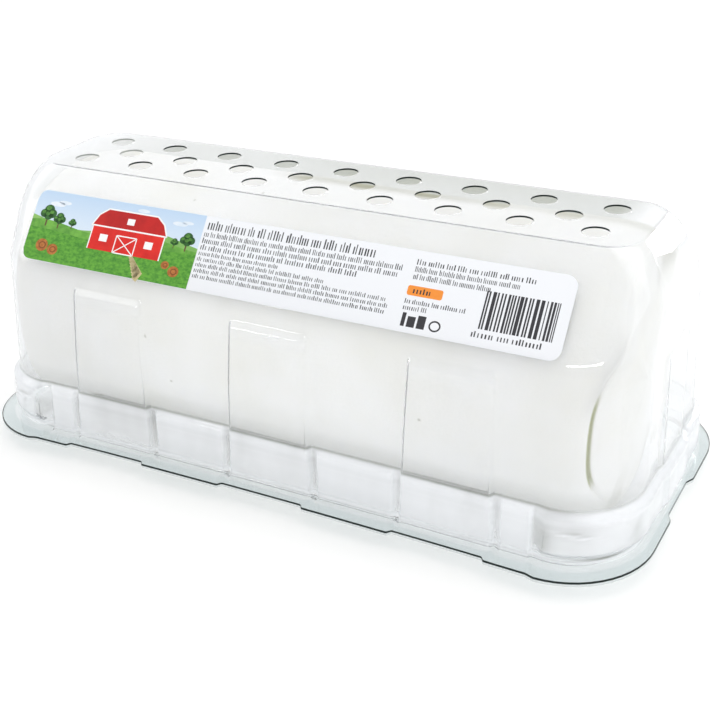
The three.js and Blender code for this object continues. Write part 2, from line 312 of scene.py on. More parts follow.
def dome_ring(height, outset=0.0, drawn_in=0.0):
    in_skirt = 1.0 - float(smooth(height, SKIRT_TOP, SKIRT_TOP + SKIRT_LEDGE))
    plan = dome_plan(height)
    plan["half_length"] -= drawn_in
    return ring(
        height,
        plan,
        ribs=1.0 - float(smooth(height, RIB_TOP, RIB_TOP + RIB_FADE)),
        spread=RIB_SPREAD * max(0.0, 1.0 - height / RIB_TOP),
        panels=in_skirt,
        bulge=BULGE * min(float(smooth(height, BULGE_FROM, BULGE_FULL)), in_skirt),
        outset=outset,
    )


def crease_rings(steps=5):
    """The last rings, where the roof's slopes turn over a tight bend into the flat top panel. A narrow flat
    border keeps the bend's shading off the panel."""
    start = PANEL_HEIGHT - CREASE_BEND
    slope_width = dome_plan(start)["half_width"]
    corner_width = dome_plan(PANEL_HEIGHT)["half_width"]
    end_width = corner_width - CREASE_BEND
    rings = []
    for t in np.linspace(0.0, 1.0, steps):
        height = (1 - t) ** 2 * start + (1 - (1 - t) ** 2) * PANEL_HEIGHT
        width = (1 - t) ** 2 * slope_width + 2 * t * (1 - t) * corner_width + t * t * end_width
        plan = dome_plan(height)
        plan["half_width"] = width
        plan["half_length"] -= CREASE_BEND * t * t
        rings.append(ring(height, plan))
    inset = CREASE_BEND + PANEL_BORDER
    plan = dome_plan(PANEL_HEIGHT)
    border = {"half_length": -inset, "half_width": -inset, "radius": -PANEL_BORDER}
    rings.append(ring(PANEL_HEIGHT, {name: plan[name] + change for name, change in border.items()}))
    return rings


def dome_levels():
    turn = np.sin(np.linspace(0.0, math.pi / 2.0, 16))
    rounded = END_ROUNDING_START + (PANEL_HEIGHT - 2.0 * CREASE_BEND - END_ROUNDING_START) * turn
    return np.unique(np.concatenate((
        np.linspace(BULGE_FROM, BULGE_FULL, 10),
        np.linspace(BULGE_FULL, SKIRT_TOP, 14),
        np.linspace(SKIRT_TOP, SKIRT_TOP + SKIRT_LEDGE, 8),
        np.linspace(SKIRT_TOP + SKIRT_LEDGE, SKIRT_TOP + SKIRT_LEDGE + 0.9, 5),
        np.linspace(18.0, RIB_TOP, 9),
        np.linspace(RIB_TOP, RIB_TOP + RIB_FADE, 8),
        np.linspace(SHOULDER_HEIGHT - SHOULDER_SOFTNESS, SHOULDER_HEIGHT + SHOULDER_SOFTNESS, 7),
        rounded,
    )))


def outer_rings():
    """The dome's outer face from the flange's edge, over its foot and walls, to the top panel."""
    rings = []
    relief = {"ribs": 1.0, "panels": 1.0, "spread": RIB_SPREAD}
    foot_edge = ring(SHEET, dome_plan(0.0), outset=FOOT_FILLET, **relief)
    flange_edge = ring(SHEET, FLANGE, jog=1.0, spread=RIB_SPREAD)
    for share in (0.0, 0.045, 0.35, 0.7):
        rings.append(mix(flange_edge, foot_edge, share))
    for angle in np.radians((0.0, 18.0, 36.0, 54.0, 72.0)):
        height = SHEET + FOOT_FILLET * (1.0 - math.cos(angle))
        outset = FOOT_FILLET * (1.0 - math.sin(angle))
        rings.append(ring(height, dome_plan(height), outset=outset, **relief))
    rings += [dome_ring(height) for height in dome_levels()]
    return np.array(rings + crease_rings())


def ring_normals(rings):
    """The outward normal at each point of a stack of rings, straight up on the flange and the panel."""
    along = np.roll(rings, -1, axis=1) - np.roll(rings, 1, axis=1)
    upward = np.gradient(rings, axis=0)
    normals = np.cross(along, upward)
    normals /= np.linalg.norm(normals, axis=2, keepdims=True)
    normals[:FLANGE_RINGS] = (0.0, 0.0, 1.0)
    normals[-2:] = (0.0, 0.0, 1.0)
    return normals


def bell(value, middle, reach):
    """1 at the middle, falling smoothly to 0 on both sides."""
    return np.exp(-((value - middle) / reach) ** 2)


def corner_angle(x, y):
    """How far round a corner of the walls each point lies: 0 on a long side and a right angle on an end."""
    past_long = np.maximum(np.abs(x) - (FOOT["half_length"] - FOOT["radius"]), 0.0)
    past_end = np.maximum(np.abs(y) - (FOOT["half_width"] - FOOT["radius"]), 1e-6)
    return np.degrees(np.arctan2(past_long, past_end))


def veil_and_painted_light_share(points):
    """How much of the dome's sheet is milky veil at each point. The veil is partly the plastic's haze and partly
    painted reflection, with painted highlights, glare and shade laid into it. The skirt and the ends have the most, and
    the top panel's veil grows from its left end to its right."""
    x, y, height = np.asarray(points, float).T
    around = corner_angle(x, y)
    on_long_side = 1.0 - smooth(around, 0.0, 4.0)
    in_skirt = smooth(height, 2.0, 3.0) * (1.0 - smooth(height, SKIRT_TOP + 0.4, SKIRT_TOP + SKIRT_LEDGE))
    panel_face = np.clip(panel_relief(x) / SKIRT_PANEL["depth"], 0.0, 1.0)
    rib_face = np.clip(rib_relief(x, RIB_SPREAD * (1.0 - height / RIB_TOP)) / RIB["depth"], 0.0, 1.0)
    level_face = np.maximum(panel_face, rib_face)
    # Skirt: the panels' faces a little milkier, and painted shade on the side walls, where the veil thins
    skirt = PANEL_FACE_VEIL * panel_face - SIDE_WALL_CLEARNESS * (1.0 - level_face)
    # Painted light growing towards the right of the skirt
    skirt = skirt + SKIRT_RIGHT_PAINTED_LIGHT * smooth(x, -60.0, 60.0)
    # Painted glints round each corner: along the skirt's ledge, and along a thin arc that falls round the corner
    painted_glints = PAINTED_CORNER_GLINT * bell(around, 42.0, 16.0) * bell(height, 14.2, 1.1)
    painted_glints = painted_glints + 0.5 * bell(around, 22.0, 12.0) * bell(height, 10.9 - around / 20.0, 0.35)
    # A painted highlight along the rib tops
    painted_rib_top_highlight = PAINTED_RIB_TOP_HIGHLIGHT * rib_face * bell(height, RIB_TOP - 0.5, 2.2)
    relief = on_long_side * (in_skirt * skirt + painted_rib_top_highlight)
    wall = np.interp(height, *zip(*WALL_VEIL_AND_PAINTED_LIGHT)) + relief + painted_glints
    end = np.where(x > 0.0, END_VEIL["right"], END_VEIL["left"])
    end = end * smooth(np.abs(x), 95.0, 103.5) * smooth(height, 2.0, 12.0)
    end = end * (1.0 - smooth(height, 70.0, 79.0))
    # Painted glare over the upper part of both ends
    glare = PAINTED_END_GLARE * smooth(np.abs(x), 84.0, 98.0) * smooth(height, 34.0, 62.0)
    wall = np.maximum(np.maximum(wall, end), glare)
    panel = np.interp(x, (-PANEL["half_length"], PANEL["half_length"]), PANEL_VEIL)
    # Painted glare over both ends of the top panel
    painted_panel_glare = PAINTED_END_GLARE * smooth(np.abs(x) - 0.3 * y * np.sign(x), 76.0, 88.0)
    on_panel = smooth(height, 79.2, 79.7)
    return np.clip(mix(wall, np.maximum(panel, painted_panel_glare), on_panel), 0.0, 1.0)


def painted_shade_share(points):
    """How much dark olive painted shade the dome's sheet takes: a dark line in the bend above the skirt with soft shade
    over it, thin arcs round each corner, one at the foot and one higher up that falls round the corner, and soft
    patches beside each corner, fainter at the left."""
    x, y, height = np.asarray(points, float).T
    around = corner_angle(x, y)
    line = BEND_LINE * bell(height, BEND_HEIGHT, 0.24) * np.interp(around, (0.0, 30.0, 90.0), (1.0, 0.3, 0.3))
    above = BEND_SHADE * smooth(height, BEND_HEIGHT - 0.2, BEND_HEIGHT + 0.4) * (1.0 - smooth(height, 16.5, 21.0))
    # Thin arcs of painted shade round each corner
    foot = 0.8 * bell(around, 46.0, 18.0) * bell(height, 1.9, 0.3)
    foot = foot + 0.3 * bell(around, 22.0, 8.0) * bell(height, 11.7 - around / 20.0, 0.35)
    # Soft patches of painted shade beside each corner, fainter at the left
    corner_painted_shade = bell(np.abs(x), 84.4, 2.6) * (1.0 - smooth(around, 20.0, 30.0)) + 0.6 * bell(around, 72.0, 5.0)
    corner_painted_shade = corner_painted_shade * np.where(x < 0.0, 0.4, 1.0)
    corner_painted_shade = CORNER_SHADE * corner_painted_shade * smooth(height, 3.5, 5.5) * (1.0 - smooth(height, 9.0, 13.0))
    return np.clip(line + above + foot + corner_painted_shade, 0.0, 1.0)


# Meshes


def stack_faces(levels, count, first=0):
    """Quads between rings of points that lie one after another in a vertex list."""
    low = first + np.arange(levels - 1)[:, None] * count
    here = np.arange(count)[None, :]
    following = (here + 1) % count
    quads = np.stack((low + here, low + following, low + following + count, low + here + count), axis=2)
    return quads.reshape(-1, 4)


def weld(mesh):
    """Joins the points that fall together at the ends of clipped rings, and drops the faces that empties."""
    work = bmesh.new()
    work.from_mesh(mesh)
    bmesh.ops.remove_doubles(work, verts=work.verts, dist=WELD_DISTANCE)
    work.to_mesh(mesh)
    work.free()


def new_object(name, points, faces, materials, face_slots=None, sharp_angle=40.0, shares=None, welded=False):
    """A piece made of points and faces. The shares are numbers for each vertex, which materials read by
    name."""
    mesh = bpy.data.meshes.new(name)
    metres = np.asarray(points, float) * MM + (0.0, 0.0, FLANGE_HEIGHT * MM)
    mesh.from_pydata(metres.tolist(), [], [list(map(int, face)) for face in faces])
    mesh.update()
    for material in materials:
        mesh.materials.append(material)
    if face_slots is not None:
        mesh.polygons.foreach_set("material_index", np.asarray(face_slots, np.int32))
    for share_name, values in (shares or {}).items():
        attribute = mesh.attributes.new(share_name, "FLOAT", "POINT")
        attribute.data.foreach_set("value", np.asarray(values, np.float32))
    if welded:
        weld(mesh)
    mesh.shade_smooth()
    mesh.set_sharp_from_angle(angle=math.radians(sharp_angle))
    obj = bpy.data.objects.new(name, mesh)
    bpy.context.scene.collection.objects.link(obj)
    return obj


def vent_centres():
    middle = (VENT_COUNT - 1) / 2.0
    long_row = [(i - middle) * VENT_PITCH for i in range(VENT_COUNT)]
    short_row = [x - VENT_PITCH / 2.0 for x in long_row[1:]]
    centres = [(x, side * VENT_ROW_SPACING) for side in (-1, 1) for x in long_row]
    return centres + [(x, 0.0) for x in short_row]


def flat_cap(border, vents, upward):
    """The flat sheet inside a border: its vents' points, and its triangles over border and vents together."""
    turn = np.linspace(0.0, 2.0 * math.pi, VENT_SIDES, endpoint=False)
    circle = VENT_RADIUS * np.column_stack((np.cos(turn), np.sin(turn)))
    vent_points = np.array([(*place, border[0, 2]) for centre in vents for place in circle + centre])
    points = np.concatenate((border, vent_points.reshape(-1, 3)))
    border_count = len(border)
    loops = [range(border_count)]
    loops += [range(start, start + VENT_SIDES) for start in range(border_count, len(points), VENT_SIDES)]
    edges = [(loop[i - 1], loop[i]) for loop in loops for i in range(len(loop))]
    inside_edges = 1
    found = delaunay_2d_cdt([Vector(point[:2]) for point in points], edges, [], inside_edges, 1e-5)
    corners, sources = found[2], found[3]
    triangles = []
    for triangle in corners:
        numbers = [sources[corner][0] for corner in triangle]
        its_vents = {(number - border_count) // VENT_SIDES for number in numbers}
        if min(numbers) < border_count or len(its_vents) > 1:
            triangles.append(numbers if upward else numbers[::-1])
    return vent_points.reshape(-1, 3), triangles


def make_dome(sheet_material, edge_material, flange_material, faint_edge_material):
    outer = outer_rings()
    inner = outer - SHEET * ring_normals(outer)
    stack = np.concatenate((inner[::-1], outer))
    levels, count = stack.shape[:2]
    points = [stack.reshape(-1, 3)]
    faces = stack_faces(levels, count).tolist()
    edge_band = len(inner) - 1
    band_slots = [2 if abs(band - edge_band) < FLANGE_RINGS else 0 for band in range(levels - 1)]
    band_slots[edge_band] = 1
    band_slots[edge_band + 1] = 1
    slots = np.repeat(band_slots, count).tolist()
    vents = vent_centres()
    total = levels * count
    first_vents = []
    for border_start, upward in ((total - count, True), (0, False)):
        border = points[0][border_start:border_start + count]
        vent_points, triangles = flat_cap(border, vents, upward)
        numbers = np.concatenate((np.arange(count) + border_start, total + np.arange(len(vent_points))))
        for triangle in triangles:
            faces.append([int(numbers[i]) for i in triangle])
            slots.append(0)
        points.append(vent_points)
        first_vents.append(total)
        total += len(vent_points)
    for vent in range(len(vents)):
        top = first_vents[0] + vent * VENT_SIDES
        under = first_vents[1] + vent * VENT_SIDES
        for i in range(VENT_SIDES):
            j = (i + 1) % VENT_SIDES
            faces.append([top + i, top + j, under + j, under + i])
            # Painted shade on each vent's far rim only, fainter for the vents at the left end
            off_far_side = (i + 0.5) / VENT_SIDES * 2.0 * math.pi - VENT_FAR_SIDE
            edge_slot = 3 if vents[vent][0] < FAINT_VENTS_UP_TO else 1
            slots.append(edge_slot if math.cos(off_far_side) > math.cos(VENT_PAINTED_SHADE_REACH) else 0)
    points = np.concatenate(points)
    materials = [sheet_material, edge_material, flange_material, faint_edge_material]
    shares = {"veil": veil_and_painted_light_share(points), "shade": painted_shade_share(points)}
    return new_object("dome_shell", points, faces, materials, slots, shares=shares, welded=True)


def make_tray(sheet_material, edge_material, flange_material):
    """The shallow tray: a floor, a rounded bend, a drafted wall and a flange like the dome's."""
    def plan(inset, radius_inset=None):
        drop = inset if radius_inset is None else radius_inset
        return {
            "half_length": TRAY_RIM["half_length"] - inset,
            "half_width": TRAY_RIM["half_width"] - inset,
            "radius": TRAY_RIM["radius"] - drop,
        }
    floor_top = -GAP - TRAY_DEPTH
    radius_drop = TRAY_RIM["radius"] - TRAY_FLOOR_RADIUS
    rings = [ring(-GAP, FLANGE, jog=1.0, spread=RIB_SPREAD)]
    rim_edge = ring(-GAP, plan(-1.0, -1.0), bowed=0.0)
    for share in (0.06, 0.5):
        rings.append(mix(rings[0], rim_edge, share))
    rings.append(rim_edge)
    for angle in np.radians((22.5, 45.0, 67.5, 90.0)):
        inset = math.sin(angle) - 1.0
        rings.append(ring(-GAP - (1.0 - math.cos(angle)), plan(inset, inset), bowed=0.0))
    rings.append(ring(floor_top + 1.2, plan(TRAY_DRAFT, radius_drop), bowed=0.0))
    for angle in np.radians((22.5, 45.0, 67.5, 90.0)):
        inset = TRAY_DRAFT + 1.2 * (1.0 - math.cos(angle))
        height = floor_top + 1.2 * (1.0 - math.sin(angle))
        rings.append(ring(height, plan(inset, radius_drop + inset - TRAY_DRAFT), bowed=0.0))
    rings.append(ring(floor_top, plan(TRAY_DRAFT + 4.0, radius_drop + 4.0), bowed=0.0))
    top = np.array(rings)
    normals = ring_normals(top)
    normals[-1] = (0.0, 0.0, 1.0)
    under = top - SHEET * normals
    stack = np.concatenate((under[::-1], top))
    levels, count = stack.shape[:2]
    faces = stack_faces(levels, count).tolist()
    edge_band = len(under) - 1
    band_slots = [2 if abs(band - edge_band) < FLANGE_RINGS else 0 for band in range(levels - 1)]
    band_slots[edge_band] = 1
    slots = np.repeat(band_slots, count).tolist()
    points = stack.reshape(-1, 3)
    for border_start, upward in (((levels - 1) * count, True), (0, False)):
        border = points[border_start:border_start + count]
        for triangle in flat_cap(border, (), upward)[1]:
            faces.append([int(i) + border_start for i in triangle])
            slots.append(0)
    materials = [sheet_material, edge_material, flange_material]
    return new_object("tray_shell", points, faces, materials, slots, welded=True)


def end_profile(end):
    """From the start of an end's shoulder to its middle: place along the axis, shares of the full section
    above and below the axis, and how far the end's own form has set in."""
    lips = np.array(end["lips"])
    rows = []
    for angle in np.linspace(0.0, math.pi / 2.0, 26):
        x = end["shoulder"] + end["length"] * math.sin(angle)
        rows.append((x, *(lips + (1.0 - lips) * math.cos(angle)), math.sin(angle)))
    lip_x = end["shoulder"] + end["length"]
    face_edge = end["reach"] - FACE_BULGE
    for part in np.linspace(0.0, 1.0, 9)[1:]:
        x = mix(lip_x, face_edge - CREASE_DEPTH, part) + 0.7 * math.sin(math.pi * part)
        rows.append((x, *(lips - CREASE_INSET * part), 1.0))
    for part in np.linspace(0.0, 1.0, 14)[1:]:
        x = face_edge - CREASE_DEPTH * (1.0 - part) ** 2
        rows.append((x, *(lips - mix(CREASE_INSET, FACE_INSET, part ** 0.8)), 1.0))
    for part in np.linspace(1.0, 0.04, 26)[1:]:
        rows.append((end["reach"] - FACE_BULGE * part * part, *((lips - FACE_INSET) * part), 1.0))
    return np.array(rows)


def squared(value, squareness):
    """A sine or cosine changed so that the oval they draw together has squarer corners."""
    return np.sign(value) * np.abs(value) ** (2.0 / (2.0 + squareness))


def closed_fold_line(along, above):
    """Where the end's surface would lie without the fold: straight from the lip to the face's edge."""
    result = along.copy()
    for end, side in ((LEFT_END, -1.0), (RIGHT_END, 1.0)):
        lip = end["lips"][0]
        lip_x = end["shoulder"] + end["length"]
        share = (lip - above) / FACE_INSET
        straight = mix(lip_x, end["reach"] - FACE_BULGE, share)
        in_fold = (along * side > end["shoulder"]) & (share > 0.0) & (share < 1.0)
        result = np.where(in_fold, side * straight, result)
    return result


def log_waves(x, angle):
    wide = 0.14 * np.sin(3.0 * angle + x / 31.0) + 0.1 * np.sin(2.0 * angle + x / 13.0)
    fine = 0.05 * np.sin(9.0 * angle + x / 4.1) * np.sin(x / 5.7 + 1.3)
    return wide + fine


def right_end_warp(x, angle):
    """The right end's face stands out at its upper front, and is drawn in just below that."""
    degrees = np.degrees(angle)
    drawn_in = 2.0 * bell(degrees, 176.0, 20.0) + 2.4 * bell(degrees, 205.0, 20.0)
    return np.where(x > 0.0, 3.4 * bell(degrees, 143.0, 14.0) - drawn_in, 0.0)


def span(angle, start, end, softness):
    """1 between two places round the log, in degrees, with soft ends."""
    degrees = np.degrees(angle)
    return smooth(degrees, start - softness, start + softness) * (1.0 - smooth(degrees, end - softness, end + softness))


def painted_fold_line_share(along, above, angle):
    """A dark olive line of painted shade in the right end's open fold, between the face's edge and the lip: the fold is
    open at the front only.
    """
    lip, edge = RIGHT_END["lips"][0], RIGHT_END["lips"][0] - FACE_INSET
    across = smooth(above, edge + 0.01, edge + 0.018) * (1.0 - smooth(above, lip, lip + 0.012))
    return np.where(along > RIGHT_END["shoulder"] + 1.0, across, 0.0) * span(angle, 167.0, 212.0, 5.0)


def painted_shade_above_fold(along, above, angle):
    """The wide soft painted shade above the open fold, where the rind dips before it folds in."""
    lip = RIGHT_END["lips"][0]
    across = bell(above, lip + 0.012, 0.045)
    return np.where(along > RIGHT_END["shoulder"] + 1.0, across, 0.0) * span(angle, 142.0, 172.0, 8.0)


def painted_back_shade(along, angle):
    """Painted shade on the rind just behind the top, which shows through the right half's vents."""
    return span(angle, 58.0, 85.0, 5.0) * smooth(along, -28.0, -8.0) * (1.0 - 0.4 * smooth(along, 36.0, 60.0))


def painted_rind_shade_share(along, angle):
    """Painted shade on the rind, a little greyer: to the left and slightly at the right, where the light falls weaker,
    along the top and on the underside.
    """
    sides = smooth(-along, 25.0, 75.0) + 0.6 * smooth(along, 25.0, 60.0)
    around = 0.8 * span(angle, 45.0, 118.0, 14.0) + 0.6 * span(angle, 205.0, 300.0, 10.0)
    return np.maximum(sides, around * (1.0 - smooth(np.abs(along), 80.0, 92.0)))


def painted_underside_shade_share(angle):
    """A line of painted shade along both sides of the underside, just above where it rests."""
    return span(angle, 235.0, 252.0, 3.5) + span(angle, 288.0, 305.0, 3.5)


def make_log(material, sides=240):
    left = end_profile(LEFT_END)[::-1] * (-1.0, 1.0, 1.0, 1.0)
    body = np.linspace(-LEFT_END["shoulder"], RIGHT_END["shoulder"], 110)[1:-1]
    middle = np.column_stack((body, np.ones((len(body), 2)), np.zeros(len(body))))
    profile = np.concatenate((left, middle, end_profile(RIGHT_END)))
    angle = np.linspace(0.0, 2.0 * math.pi, sides, endpoint=False)[None, :]
    along, above, below, set_in = (profile[:, i:i + 1] for i in range(4))
    is_below = angle > math.pi
    squareness = np.where(along < 0.0, LEFT_END["squareness"], RIGHT_END["squareness"])
    corner = np.where(is_below, squareness * set_in, 0.0)
    waves = log_waves(along, angle)
    y = above * (LOG_HALF_WIDTH + waves) * squared(np.cos(angle), corner)
    z = np.where(is_below, below, above) * (LOG_HALF_HEIGHT + waves) * squared(np.sin(angle), corner)
    z = -LOG_FLAT_DROP + soft_ramp(z + LOG_FLAT_DROP, 0.5)
    skew = END_SKEW_SIDEWAYS * y / LOG_HALF_WIDTH + END_SKEW_UPWARDS * z / LOG_HALF_HEIGHT
    x = along + set_in * (skew + right_end_warp(along, angle) * above)
    x = x + (closed_fold_line(along, above) - along) * (1.0 - span(angle, 160.0, 222.0, 12.0))
    points = np.stack((x, y, z + LOG_AXIS_HEIGHT), axis=2).reshape(-1, 3)
    whole = np.ones_like(x)
    off_faces = smooth(above, 0.55, 0.86)
    # The rind's painted shade, which its material reads by name: the line in the open fold, the soft shade above it,
    # the lines along the underside, the patch behind the top and the greyer parts
    shares = {
        "fold": painted_fold_line_share(along, above, angle) * whole,
        "painted_shade_above_fold": painted_shade_above_fold(along, above, angle) * whole,
        "damp": painted_underside_shade_share(angle) * (1.0 - 0.7 * set_in) * off_faces,
        "painted_back_shade": painted_back_shade(along, angle) * off_faces,
        "grey": painted_rind_shade_share(along, angle) * mix(0.5, 1.0, off_faces),
    }
    levels = len(profile)
    faces = stack_faces(levels, sides).tolist()
    for first, facing_back in ((0, True), ((levels - 1) * sides, False)):
        middle = len(points)
        points = np.concatenate((points, points[first:first + sides].mean(axis=0, keepdims=True)))
        for i in range(sides):
            j = (i + 1) % sides
            faces.append([middle, first + j, first + i] if facing_back else [middle, first + i, first + j])
    shares = {name: np.append(share.reshape(-1), (0.0, 0.0)) for name, share in shares.items()}
    return new_object("cheese_log_rind", points, faces, [material], sharp_angle=80.0, shares=shares)


# The label lies on the roof's front slope, in a frame of its own: u along the pack, v up the slope


def label_frame():
    run = SHOULDER["half_width"] - PANEL["half_width"] - CREASE_DROP
    rise = PANEL_HEIGHT - CREASE_DROP - SHOULDER_HEIGHT
    angle = math.atan2(rise, run)
    up = np.array([0.0, math.cos(angle), math.sin(angle)])
    out = np.array([0.0, -math.sin(angle), math.cos(angle)])
    crease = np.array([LABEL_CENTRE_X, -PANEL["half_width"] - CREASE_DROP, PANEL_HEIGHT - CREASE_DROP])
    centre = crease - up * (LABEL_FROM_CREASE + LABEL_HEIGHT / 2.0)
    return centre, np.array([1.0, 0.0, 0.0]), up, out


def on_label(u, v, lift):
    centre, along, up, out = label_frame()
    return centre + along * u + up * v + out * lift


def rounded_outline(half_u, half_v, corner, steps=10):
    outline = []
    for quarter, (side_u, side_v) in enumerate(((1, -1), (1, 1), (-1, 1), (-1, -1))):
        for turn in np.linspace(0.0, math.pi / 2.0, steps):
            angle = turn + (quarter - 1) * math.pi / 2.0
            outline.append((
                side_u * (half_u - corner) + corner * math.cos(angle),
                side_v * (half_v - corner) + corner * math.sin(angle),
            ))
    return outline


def make_label(material):
    outline = rounded_outline(LABEL_LENGTH / 2.0, LABEL_HEIGHT / 2.0, LABEL_CORNER)
    count = len(outline)
    layers = ((GAP, 0.06), (GAP, 0.0), (GAP + LABEL_THICKNESS - 0.05, 0.0), (GAP + LABEL_THICKNESS, 0.06))
    points = []
    for lift, inset in layers:
        shrink_u = 1.0 - inset / (LABEL_LENGTH / 2.0)
        shrink_v = 1.0 - inset / (LABEL_HEIGHT / 2.0)
        points += [on_label(u * shrink_u, v * shrink_v, lift) for u, v in outline]
    faces = stack_faces(len(layers), count).tolist()
    faces.append(list(range((len(layers) - 1) * count, len(layers) * count)))
    faces.append(list(range(count))[::-1])
    return new_object("label_paper_strip", points, faces, [material])


# The label's print: closed flat shapes, each a hair thick, that lie in layers on the paper


def print_bottom(u):
    """The lower edge of what is printed, which follows the label's rounded corners."""
    half_u, half_v = LABEL_LENGTH / 2.0 - PRINT_MARGIN, LABEL_HEIGHT / 2.0 - PRINT_MARGIN
    into_corner = np.clip(np.abs(u) - (half_u - LABEL_CORNER), 0.0, LABEL_CORNER)
    return -(half_v - LABEL_CORNER) - np.sqrt(LABEL_CORNER**2 - into_corner**2)


def field(start, end, low, high, steps=90):
    """The outline of a field of colour between two curves over a stretch of the label."""
    u = np.linspace(start, end, steps)
    bottom = np.maximum(low(u), print_bottom(u))
    top = np.clip(high(u), bottom, -print_bottom(u))
    return list(zip(u, bottom)) + list(zip(u, top))[::-1]


def oval(u, v, half_u, half_v, steps=26):
    turn = np.linspace(0.0, 2.0 * math.pi, steps, endpoint=False)
    return list(zip(u + half_u * np.cos(turn), v + half_v * np.sin(turn)))


def block(u, v, width, height):
    return [(u, v), (u + width, v), (u + width, v + height), (u, v + height)]


def stroke(start, end, width):
    """A straight band from one place to another."""
    along = np.subtract(end, start)
    side = np.array((-along[1], along[0])) / np.linalg.norm(along) * width / 2.0
    return [tuple(np.add(start, -side)), tuple(np.add(end, -side)), tuple(np.add(end, side)),
            tuple(np.add(start, side))]


def tree(u, v, size):
    """A round-headed tree: its trunk, its crown's clumps and their lit tops."""
    shapes = [("bark", block(u - 0.09 * size, v - 1.2 * size, 0.18 * size, 1.1 * size), 2)]
    clumps = ((0.0, 0.45, 0.62), (-0.5, 0.05, 0.5), (0.5, 0.1, 0.52), (0.05, -0.1, 0.55))
    shapes += [("leaf", oval(u + du * size, v + dv * size, r * size, 0.86 * r * size), 3)
               for du, dv, r in clumps]
    shapes += [("leaf_lit", oval(u + (du - 0.12) * size, v + (dv + 0.16) * size, 0.5 * r * size, 0.36 * r * size), 4)
               for du, dv, r in clumps]
    return shapes


def barn(u, v, width, wall, roof):
    """A long red barn seen square on, with white trim, a wide door and a loft window."""
    inset = 0.16 * width
    knee = 0.62 * roof
    gable = [(u - 0.6, v + wall), (u + width + 0.6, v + wall), (u + width - 0.3 * inset, v + wall + knee),
             (u + width - inset, v + wall + roof), (u + inset, v + wall + roof),
             (u + 0.3 * inset, v + wall + knee)]
    shapes = [("barn_red", block(u, v, width, wall), 3), ("barn_roof", gable, 4)]
    shapes += [("trim", stroke(a, b, 0.45), 5) for a, b in zip(gable, gable[1:] + gable[:1])]
    shapes += [("trim", block(u + share * width - 0.2, v, 0.4, wall), 5) for share in (0.0, 1.0)]
    door_u, door_w, door_h = u + 0.36 * width, 0.28 * width, 0.72 * wall
    corners = block(door_u, v, door_w, door_h)
    shapes += [("trim", stroke(a, b, 0.35), 5) for a, b in zip(corners, corners[1:] + corners[:1])]
    shapes += [("trim", stroke(corners[0], corners[2], 0.3), 5), ("trim", stroke(corners[1], corners[3], 0.3), 5)]
    for share in (0.13, 0.76):
        shapes.append(("trim", block(u + share * width, v + 0.38 * wall, 0.11 * width, 0.3 * wall), 5))
    shapes.append(("trim", block(u + 0.45 * width, v + wall + 0.3 * roof, 0.1 * width, 0.34 * roof), 5))
    return shapes


def bale(u, v, size):
    return [("straw", oval(u, v, size, 0.86 * size), 4), ("straw_dark", oval(u + 0.1 * size, v, 0.6 * size, 0.5 * size), 5),
            ("straw", oval(u + 0.1 * size, v, 0.42 * size, 0.34 * size), 6)]


def farm_picture():
    """Generic farmland: sky with soft clouds, two hills, a meadow with a track, a barn, trees and bales."""
    left, right = -LABEL_LENGTH / 2.0 + PRINT_MARGIN, PICTURE_END
    low = lambda u: np.full_like(u, -LABEL_HEIGHT)
    shapes = [("sky", field(left, right, low, lambda u: np.full_like(u, LABEL_HEIGHT)), 0)]
    shapes += [("cloud", oval(u, v, w, 0.26 * w), 1) for u, v, w in (
        (-79.0, 7.2, 3.0), (-76.4, 7.9, 2.4), (-33.2, 7.4, 2.6), (-30.6, 8.0, 2.0), (-47.0, 9.4, 2.2))]
    shapes.append(("hill_far", field(left, right, low, lambda u: 2.1 + 1.7 * np.sin(u / 8.2 + 0.6)), 1))
    shapes.append(("hill_near", field(left, right, low, lambda u: 0.9 + 1.0 * np.sin(u / 6.1 + 2.4)), 2))
    shapes.append(("meadow", field(left, right, low, lambda u: -1.6 + 0.8 * np.sin(u / 10.5 + 3.7)), 3))
    track = [stroke((-47.2 + 0.5 * i, -4.6 - 0.72 * i), (-46.4 + 0.62 * i, -5.5 - 0.72 * i), 1.3 + 0.28 * i)
             for i in range(8)]
    shapes += [("track", part, 4) for part in track]
    for u, v, size in ((-81.6, 3.6, 3.1), (-76.8, 2.4, 2.3), (-29.2, 2.7, 2.6), (-71.6, 2.0, 1.5), (-33.4, 1.6, 1.4)):
        shapes += [(ink, outline, layer + 2) for ink, outline, layer in tree(u, v, size)]
    shapes += [(ink, outline, layer + 3) for ink, outline, layer in barn(-63.6, -4.6, 26.5, 7.4, 5.6)]
    for u, v, size in ((-80.6, -6.2, 2.3), (-76.2, -7.0, 2.0), (-31.0, -6.9, 1.9), (-34.4, -5.4, 1.4)):
        shapes += [(ink, outline, layer + 3) for ink, outline, layer in bale(u, v, size)]
    return shapes


def line_of_marks(draw, start, end, v, height, weight):
    """A line of upright marks grouped like words, which stands for a line of small print."""
    marks = []
    u = start
    while u < end - height:
        for _ in range(draw.randint(3, 9)):
            if u > end - weight:
                break
            tall = draw.random() < 0.3
            marks.append(("ink", block(u, v, weight * draw.uniform(0.8, 1.25), height * (1.0 if tall else 0.74)), 0))
            u += weight * draw.uniform(2.1, 2.9)
        u += weight * 1.8
    return marks


